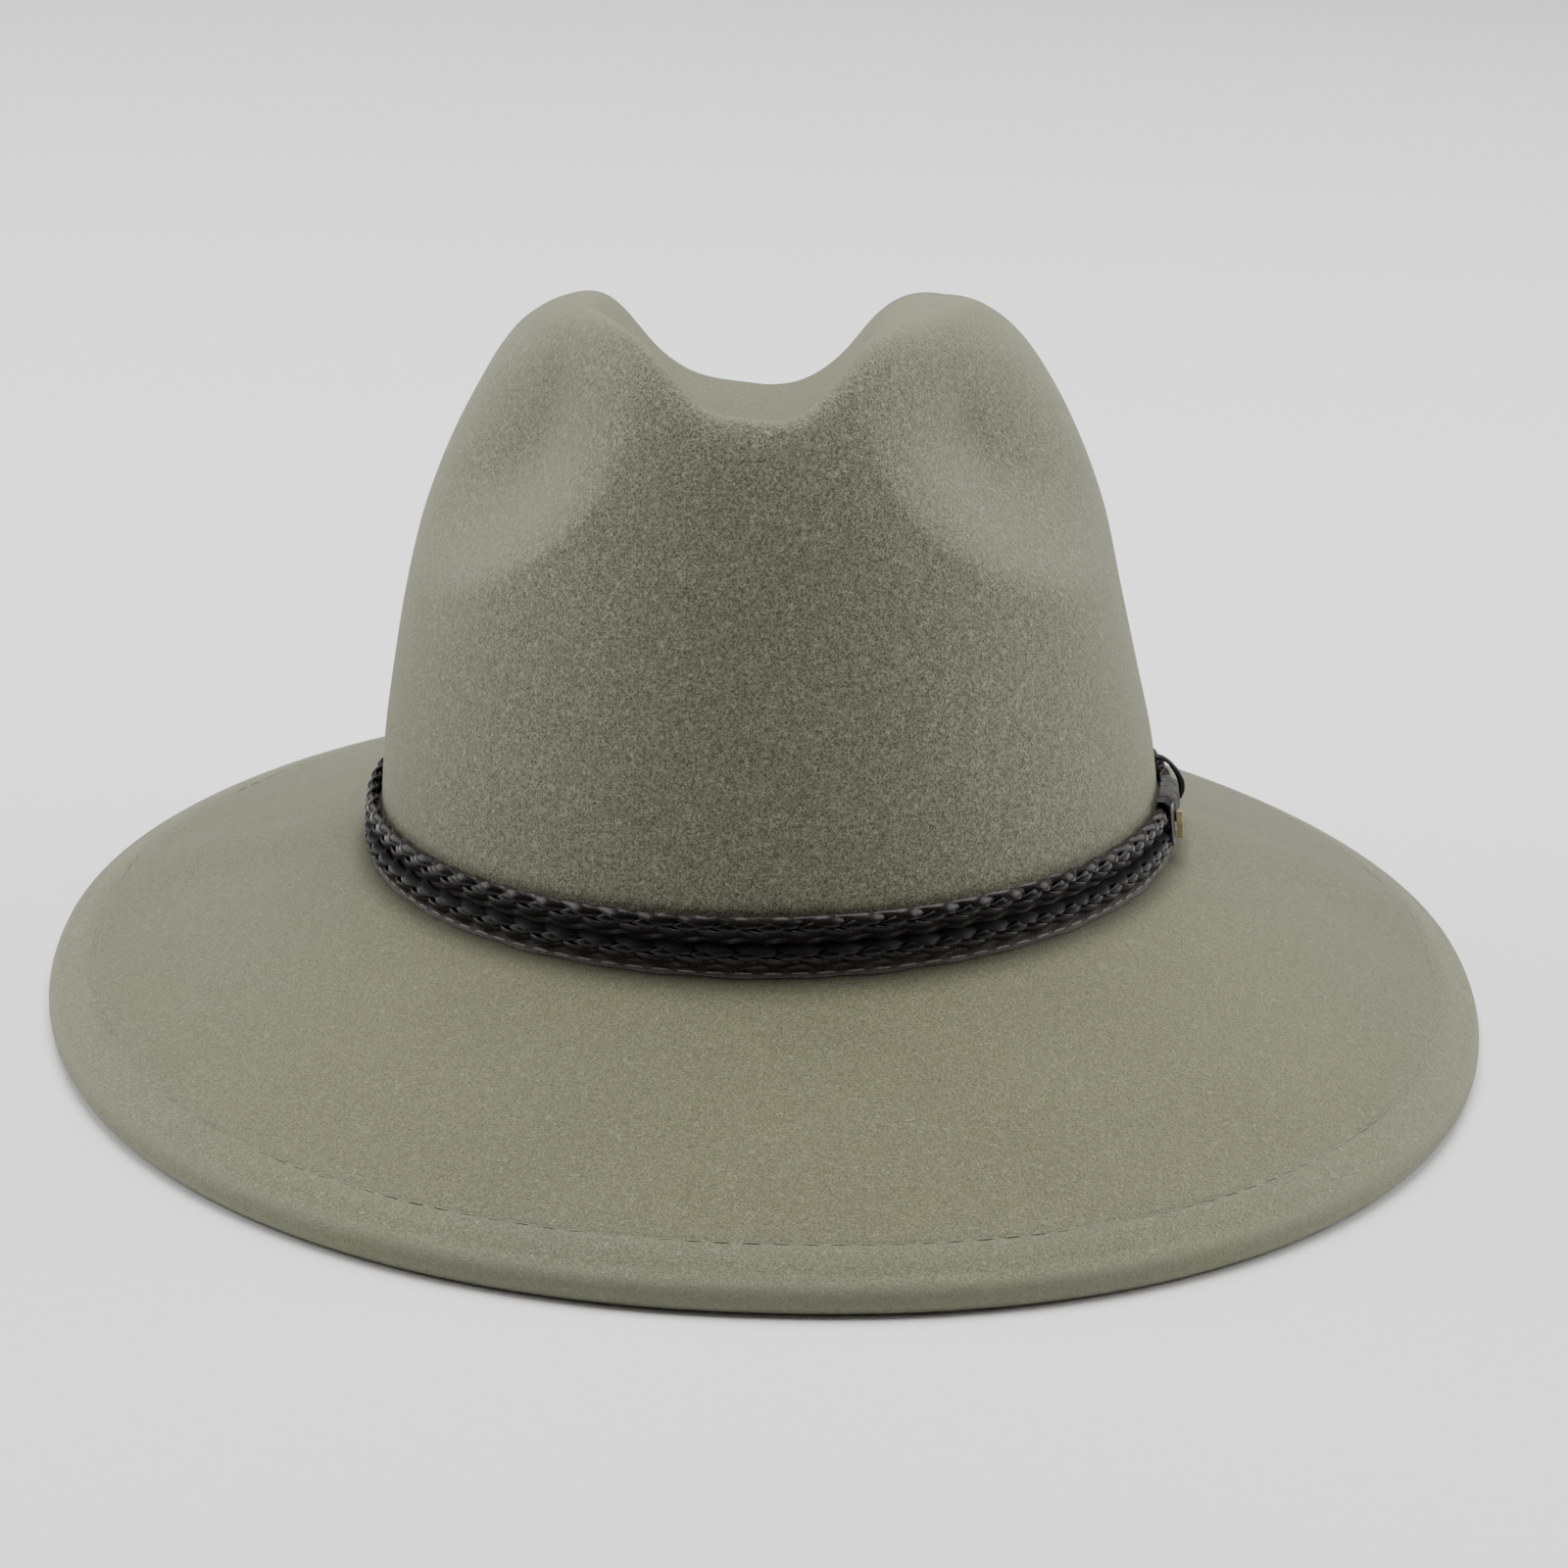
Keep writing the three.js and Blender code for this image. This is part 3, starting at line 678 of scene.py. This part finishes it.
# point measured outwards and upwards from the foot of the crown's wall
def bandPoint(angle, outward, height):
    angle, outward, height = np.broadcast_arrays(angle, outward, height)
    place = np.maximum(height, 0) / (hat["crownHeight"] * crownRows[1, 0])
    _, width, front, back, _, shift = np.moveaxis(throughRows(crownRows, place), -1, 0)
    halfWidth = hat["headHalfWidth"] * width
    halfLength = hat["headHalfLength"] * np.where(np.sin(angle) < 0, front, back)
    nx, ny = np.cos(angle) / halfWidth, np.sin(angle) / halfLength
    size = np.hypot(nx, ny)
    return standCrown(halfWidth * np.cos(angle) + shift + nx / size * outward,
                      halfLength * np.sin(angle) + ny / size * outward, height)


# length of a closed line round the hat, and a function from a share of it to the line's angle
def evenlyAlong(line, turns):
    steps = np.concatenate([[0], np.cumsum(np.linalg.norm(np.diff(line, axis=0), axis=1))])

    def angleAt(share):
        whole = np.floor(share)
        return np.interp((share - whole) * steps[-1], steps, turns) + whole * 2 * np.pi

    return steps[-1], angleAt


fineTurns = np.linspace(-np.pi / 2, 1.5 * np.pi, 2881)
bandLength, bandAngle = evenlyAlong(bandPoint(fineTurns, braidInner + 1.3, lowerMiddle), fineTurns)

lace = {
    "count": 4, "periods": 18, "samples": 44, "swing": 1.62, "lift": 0.8, "width": 2.05, "swell": 0.2,
    "thickness": 0.72, "roll": 0.62,
    # the brown is painted light on each plait's outer row
    "black": (0.0018, 0.002, 0.0023), "litBrown": (0.024, 0.0185, 0.0155), "worn": (0.07, 0.055, 0.045),
}
# a lace's section from edge to edge: flat below, a soft ridge along its face, crisp edges
laceSection = np.array([
    [-1, -0.35], [-0.97, 0.3], [-0.85, 0.62], [-0.42, 0.98], [0, 1.3], [0.42, 0.98], [0.85, 0.62],
    [0.97, 0.3], [1, -0.35], [0.88, -0.88], [0.4, -1], [-0.4, -1], [-0.88, -0.88],
])


# lace k of a plait: sideways = swing x cos(phase), outwards = lift x sin(3 phase); its flat
# section leans with the edge it turns round and is widest where it lies on top
def plait(middle, shift, outerSide):
    count = lace["periods"] * lace["samples"]
    share = np.arange(count) / count
    k = np.arange(lace["count"])[:, None]
    phase = 2 * np.pi * (lace["periods"] * share + k / lace["count"]) + shift
    pitch = bandLength / lace["periods"] / (2 * np.pi)
    side, out = lace["swing"] * np.cos(phase), lace["lift"] * np.sin(3 * phase)
    tangent = np.stack([pitch + 0 * phase, -lace["swing"] * np.sin(phase),
                        3 * lace["lift"] * np.cos(3 * phase)], -1)
    tangent /= np.linalg.norm(tangent, axis=-1, keepdims=True)
    lean = lace["roll"] * np.cos(phase)
    outNormal = np.stack([0 * phase, np.sin(lean), np.cos(lean)], -1)
    across = np.cross(outNormal, tangent)
    across /= np.linalg.norm(across, axis=-1, keepdims=True)
    outNormal = np.cross(tangent, across)
    width = lace["width"] * (1 + lace["swell"] * np.sin(3 * phase))
    u, v = laceSection[:, 0] * width[..., None] / 2, laceSection[:, 1] * lace["thickness"] / 2
    centre = np.stack([share * bandLength + 0 * phase, side, out], -1)
    local = centre[:, :, None] + across[:, :, None] * u[..., None] + outNormal[:, :, None] * v[:, None]
    along, side, out = np.moveaxis(local, -1, 0)
    points = bandPoint(bandAngle(along / bandLength), braidInner + band["braidThickness"] / 2 + out,
                       middle + side)
    # the outer row gets painted light in the finish, and the row by the gap between the plaits painted shade
    outerness = outerSide * side / lace["swing"]
    return points, {"edge": np.abs(laceSection[:, 0]) ** 4 + 0 * side,
                    "outer": smoothStep(outerness - 0.35), "inner": smoothStep(-outerness - 0.2)}


def laceFinish():
    material, wire, place, feed, bump = newFinish("dark braided lace", Specular_IOR_Level=0.2)
    grain, rubbed = wire.noise(place, 1500, 3, 0.6), wire.noise(place, 420)
    tone = wire.noise(place, 130).contrast(2.6)
    inner = wire.painted("inner")
    worn = rubbed.contrast(3.0, 0.4, 0.0) * wire.painted("edge")
    # painted light: each plait's outer row is lit brown, the other rows black
    dark = wire.blend(wire.painted("outer") * (tone * 0.6 + 0.4), lace["black"], lace["litBrown"])
    # rows by the gap between the plaits get no worn edges and stay black, as painted shade; the worn edges
    # elsewhere are real wear
    feed("Base Color", wire.blend(worn * (1.0 - inner) * 0.4, dark, lace["worn"]))
    feed("Roughness", (0.2 + grain * 0.16 + inner * 0.6).clamped())
    bump(grain + rubbed * 0.8, 0.0001, 0.5)
    return material


laceMaterial = laceFinish()
for name, node, middle, shift, outerSide in (("lower_plait", "lower_braid", lowerMiddle, 0.9, -1),
                                             ("upper_plait", "upper_braid", upperMiddle, 0.0, 1)):
    points, shares = plait(middle, shift, outerSide)
    finishPiece(gridMesh(name, points, (True, True), attributes=shares), laceMaterial, "braid_leather", node)
print("plaits:", lace["count"], "laces each,", lace["periods"], "turns")


# tape behind the plaits, seen as a narrow stitched margin below them

tape = {
    "steps": 480, "top": 7, "reach": 2.75, "stitchPitch": 5.6, "stitchLength": 3.9, "stitchThickness": 0.3,
    "stitchBow": 0.06, "stitchIn": 0.4, "dark": (0.026, 0.024, 0.019), "pale": (0.058, 0.053, 0.042),
    "threadDark": (0.1, 0.09, 0.07), "threadPale": (0.19, 0.172, 0.138),
}


# point over the brim's upper face, measured outwards from the crown's foot
def overBrim(angle, outward, gap):
    _, _, _, run, slope = brimSlice(angle)
    point = brimPoint(angle, outward / run)
    point[..., 2] += gap / np.cos(slope)
    return point


# the tape stands against the crown's wall, bends and ends a little way out on the brim; its
# profile goes down the inner face, round the wavy lower edge and up the outer face
def tapeSkin():
    turns = 2 * np.pi * np.arange(tape["steps"]) / tape["steps"]
    inner, outer = band["fitGap"], band["fitGap"] + band["tapeThickness"]
    reach = tape["reach"] + 0.12 * np.sin(turns * 37) + 0.1 * np.sin(turns * 23 + 1)
    innerBend = (bandPoint(turns, inner + 0.8, 0.55) + overBrim(turns, 1.3, inner)) / 2
    outerBend = (bandPoint(turns, inner + 0.9, 1.2) + overBrim(turns, 1.7, outer)) / 2
    shares = (0.42, 0.6, 0.8, 0.97)
    return np.stack([
        bandPoint(turns, inner, tape["top"]),
        bandPoint(turns, inner, 4.0),
        bandPoint(turns, inner + 0.15, 1.6),
        innerBend,
        *(overBrim(turns, reach * share, inner) for share in shares),
        overBrim(turns, reach, (inner + outer) / 2),
        *(overBrim(turns, reach * share, outer) for share in shares[::-1]),
        outerBend,
        bandPoint(turns, outer + 0.1, 2.2),
        bandPoint(turns, outer, 4.0),
        bandPoint(turns, outer, tape["top"]),
    ], 1)


def tapeFinish():
    material, wire, place, feed, bump = newFinish("woven tape", Roughness=0.9, Sheen_Weight=0.2)
    weave = wire.noise(wire.stirred(place, 900, 0.0006), 1500)
    feed("Base Color", wire.blend(weave.contrast(3.0), tape["dark"], tape["pale"]))
    bump(weave, 0.0002)
    return material


def threadFinish(name, dark, pale):
    material, wire, place, feed, bump = newFinish(name, Roughness=0.7, Sheen_Weight=0.2)
    twist = wire.noise(place, 2200)
    feed("Base Color", wire.blend(twist.contrast(3.0), dark, pale))
    bump(twist, 0.0001)
    return material


# rounded dashes of thread laid along a path: place(share, sideways, upwards) gives their points
def dashes(place, length, pitch, dashLength, thickness, bow):
    count = int(round(length / pitch))
    start = np.arange(count)[:, None, None] + random.uniform(-0.04, 0.04, (count, 1, 1))
    u = np.linspace(-1, 1, 9)[None, :, None]
    t = (2 * np.pi * np.arange(7) / 7)[None, None, :]
    girth = np.sqrt(np.clip(1 - np.abs(u) ** 6, 0.03, 1)) * thickness / 2
    share = (start + 0.5 * u * dashLength / pitch) / count
    side, up = girth * np.cos(t) * 1.15, girth * np.sin(t) + bow * (1 - u ** 2)
    return place(*np.broadcast_arrays(share, side, up))


def onTape(share, side, up):
    outward = tape["reach"] - tape["stitchIn"] + side
    return overBrim(bandAngle(share), outward, band["fitGap"] + band["tapeThickness"] + 0.02 + up)


finishPiece(gridMesh("backing", tapeSkin(), (True, True)), tapeFinish(), "tape", "backing_tape")
tapeDashes = dashes(onTape, bandLength, tape["stitchPitch"], tape["stitchLength"], tape["stitchThickness"],
                    tape["stitchBow"])
tapeThread = threadFinish("pale thread", tape["threadDark"], tape["threadPale"])
finishPiece(gridMesh("tape_stitches", tapeDashes), tapeThread, "tape")
print("tape and its stitches:", len(tapeDashes))


# stitches in the seam along the brim's edge

seamStitch = {"pitch": 5.6, "length": 3.4, "thickness": 0.24, "bow": 0.08, "sink": 0.14,
              "inside": felt["grooveIn"] - hat["hemRadius"],
              "dark": (0.15, 0.15, 0.105), "pale": (0.2, 0.198, 0.142)}
seamTurns = np.linspace(0, 2 * np.pi, 1441)
seamPath = brimPoint(seamTurns, shareInside(seamTurns, seamStitch["inside"]))
seamLength, seamAngle = evenlyAlong(seamPath, seamTurns)


def onSeam(share, side, up):
    angle = seamAngle(share)
    at = shareInside(angle, seamStitch["inside"] + side)
    lift = up - felt["grooveDepth"] + seamStitch["thickness"] / 2 - seamStitch["sink"]
    return brimPoint(angle, at) + brimNormal(angle, at) * lift[..., None]


seamDashes = dashes(onSeam, seamLength, seamStitch["pitch"], seamStitch["length"], seamStitch["thickness"],
                    seamStitch["bow"])
seamThread = threadFinish("olive thread", seamStitch["dark"], seamStitch["pale"])
finishPiece(gridMesh("brim_stitches", seamDashes), seamThread, "felt")
print("brim stitches:", len(seamDashes))


# keeper, bare brass plate, suede wrap and the end's lace loop on the wearer's left

# closed body with a section that may change along an arc of the band, from a start to an end in
# degrees; its ends are rounded in over a short length
def arcBody(name, sectionAt, sizes, ladder):
    u = np.linspace(0, 1, sizes["steps"])
    angle = np.radians(sizes["start"] + (sizes["end"] - sizes["start"]) * u)
    length = np.radians(sizes["end"] - sizes["start"]) * hat["headHalfWidth"]
    fromEnd = np.clip(np.minimum(u, 1 - u) * length / sizes["endRound"], 0, 1)
    inset = sizes["endInset"] * (1 - np.sqrt(1 - (1 - fromEnd) ** 2))
    section = np.stack([sectionAt(v) for v in u])
    along = np.roll(section, -1, 1) - np.roll(section, 1, 1)
    normal = np.stack([-along[..., 1], along[..., 0]], -1)
    normal /= np.linalg.norm(normal, axis=-1, keepdims=True) + 1e-9
    section = section + normal * inset[:, None, None]
    return gridMesh(name, bandPoint(angle[:, None], section[..., 0], section[..., 1]), ladder=ladder)


# counter-clockwise outline through corner points, with every corner rounded by a short curve
def roundedOutline(corners, radius, pointsEach=5):
    corners = np.array(corners, float)[:, None]
    before, after = np.roll(corners, 1, 0) - corners, np.roll(corners, -1, 0) - corners
    lengthBefore = np.linalg.norm(before, axis=-1, keepdims=True)
    lengthAfter = np.linalg.norm(after, axis=-1, keepdims=True)
    a = corners + before / lengthBefore * np.minimum(radius, lengthBefore * 0.45)
    b = corners + after / lengthAfter * np.minimum(radius, lengthAfter * 0.45)
    t = np.linspace(0, 1, pointsEach)[None, :, None]
    return (a * (1 - t) ** 2 + corners * 2 * t * (1 - t) + b * t ** 2).reshape(-1, 2)


# a strap's profile over both plaits, from its foot up and over their top to the crown
def hookOutline(thickness, foot, radius):
    inside, ceiling = braidOuter + band["fitGap"], bandTop + band["fitGap"]
    outside, roof = inside + thickness, ceiling + thickness
    return roundedOutline([
        (inside, foot), (outside, foot), (outside, ceiling - 0.4), (inside - 0.9, roof),
        (1.0, roof), (1.0, ceiling), (inside - 1.3, ceiling), (inside, ceiling - 1.2)], radius)


keeper = {"start": -15.5, "end": -13.2, "steps": 25, "endRound": 0.6, "endInset": 0.35,
          "thickness": 0.6, "foot": 2.0, "rounding": 0.3,
          "black": (0.009, 0.009, 0.01), "worn": (0.03, 0.028, 0.027)}


def leatherFinish():
    material, wire, place, feed, bump = newFinish("black strap leather", Specular_IOR_Level=0.22)
    cells = {"Vector": wire.stirred(place, 800, 0.0005), "Scale": 1500.0}
    grain = wire.node("ShaderNodeTexVoronoi", {"feature": "DISTANCE_TO_EDGE"}, cells)
    worn = wire.noise(place, 400, 3).contrast(3.0, 0.45, 0.0)
    feed("Base Color", wire.blend(worn, keeper["black"], keeper["worn"]))
    feed("Roughness", 0.38 + worn * 0.2)
    bump(grain, 0.00015, 0.5)
    return material


def makeKeeper(material):
    outline = hookOutline(keeper["thickness"], keeper["foot"], keeper["rounding"])
    piece = arcBody("keeper_strap", lambda u: outline, keeper, 4)
    finishPiece(piece, material, "keeper_leather", "keeper")


wrap = {"start": -12.8, "end": -4.0, "steps": 45, "endRound": 0.8, "endInset": 0.4,
        "thickness": 0.7, "foot": 6.0, "rounding": 0.4, "swell": 0.35, "waver": 0.12, "lean": 0.1,
        "dark": (0.014, 0.0135, 0.013), "grey": (0.07, 0.067, 0.063), "nap": (0.13, 0.126, 0.118)}


def suedeFinish():
    material, wire, place, feed, bump = newFinish(
        "grey suede", Roughness=0.95, Sheen_Weight=0.12, Sheen_Roughness=0.4, Specular_IOR_Level=0.1)
    nap = wire.noise(wire.stirred(place, 700, 0.001), 1400, 3, 0.6)
    cloud = wire.noise(place, 260).contrast(2.4)
    hide = wire.blend(cloud, wrap["dark"], wrap["grey"])
    feed("Base Color", wire.blend(nap.contrast(3.0, 0.5, 0.4) * 0.5, hide, wrap["nap"]))
    bump(nap + cloud * 1.5, 0.0003, 0.8)
    return material


# the wrap is soft, so its thickness and its faces waver a little
def makeWrap():
    def lumpy(u):
        waver = wrap["swell"] * np.sin(np.pi * u) + wrap["waver"] * np.sin(u * 17)
        outline = hookOutline(wrap["thickness"] + waver, wrap["foot"], wrap["rounding"])
        return outline + np.stack([wrap["lean"] * np.sin(u * 23 + outline[:, 1]), 0 * outline[:, 1]], -1)

    finishPiece(arcBody("suede_wrap", lumpy, wrap, 4), suedeFinish(), "suede", "wrap")


plate = {"start": -13.0, "end": -11.5, "steps": 30, "endRound": 0.1, "endInset": 0.06,
         "thickness": 1.35, "taper": 0.4, "middle": 5.7, "height": 6.0, "standOff": 0.2, "rounding": 0.08,
         "brass": (0.5, 0.42, 0.23), "tarnish": (0.2, 0.17, 0.09)}


def brassFinish():
    material, wire, place, feed, bump = newFinish("aged brass", Metallic=1.0)
    brushed = wire.node("ShaderNodeMapping", None, {"Vector": place, "Scale": (1.0, 0.12, 1.0)})
    lines = wire.noise(brushed, 5200)
    tarnish = wire.noise(place, 520, 3, 0.6).contrast(2.6, 0.5, 0.4)
    feed("Base Color", wire.blend(tarnish * 0.7, plate["brass"], plate["tarnish"]))
    feed("Roughness", 0.24 + lines * 0.18 + tarnish * 0.14)
    bump(lines, 0.00004, 0.5)
    return material


# the plate's outer face runs straight back, so it's a little thinner at the far end
def makePlate():
    inner = braidOuter + band["fitGap"] + wrap["thickness"] + plate["standOff"]
    outer = inner + plate["thickness"]
    low, high = (plate["middle"] + side * plate["height"] / 2 for side in (-1, 1))
    outline = roundedOutline([(inner, low), (outer, low), (outer, high), (inner, high)], plate["rounding"], 4)

    def tapered(u):
        return outline - (outline - [inner, 0]) * [plate["taper"] * u, 0]

    finishPiece(arcBody("brass_plate", tapered, plate, 3), brassFinish(), "brass", "plate")


loop = {"start": 3.1, "end": 4.7, "steps": 31, "endRound": 1.1, "endInset": 0.42, "rounding": 0.8}


# the band's end stands out in a loop and goes back over the plaits' top
def makeLoop(material):
    face, top = braidOuter, bandTop
    outline = roundedOutline([
        (face + 1.1, 2.9), (face + 2.4, 2.3), (face + 3.6, 4.6), (face + 3.7, 6.6), (face + 2.8, top - 2.3),
        (face + 1, top), (face - 0.9, top + 1.4), (0.7, top + 1.7), (0.7, top + 0.4), (face - 1.1, top + 0.4),
        (face + 0.2, top - 0.6), (face + 1.4, top - 2.6), (face + 2.2, top - 4.8), (face + 2, top - 6.3),
    ], loop["rounding"], 6)
    finishPiece(arcBody("lace_loop", lambda u: outline, loop, 5), material, "keeper_leather", "end_loop")


leatherMaterial = leatherFinish()
makeKeeper(leatherMaterial)
makePlate()
makeWrap()
makeLoop(leatherMaterial)
print("keeper, plate, wrap and loop are made")
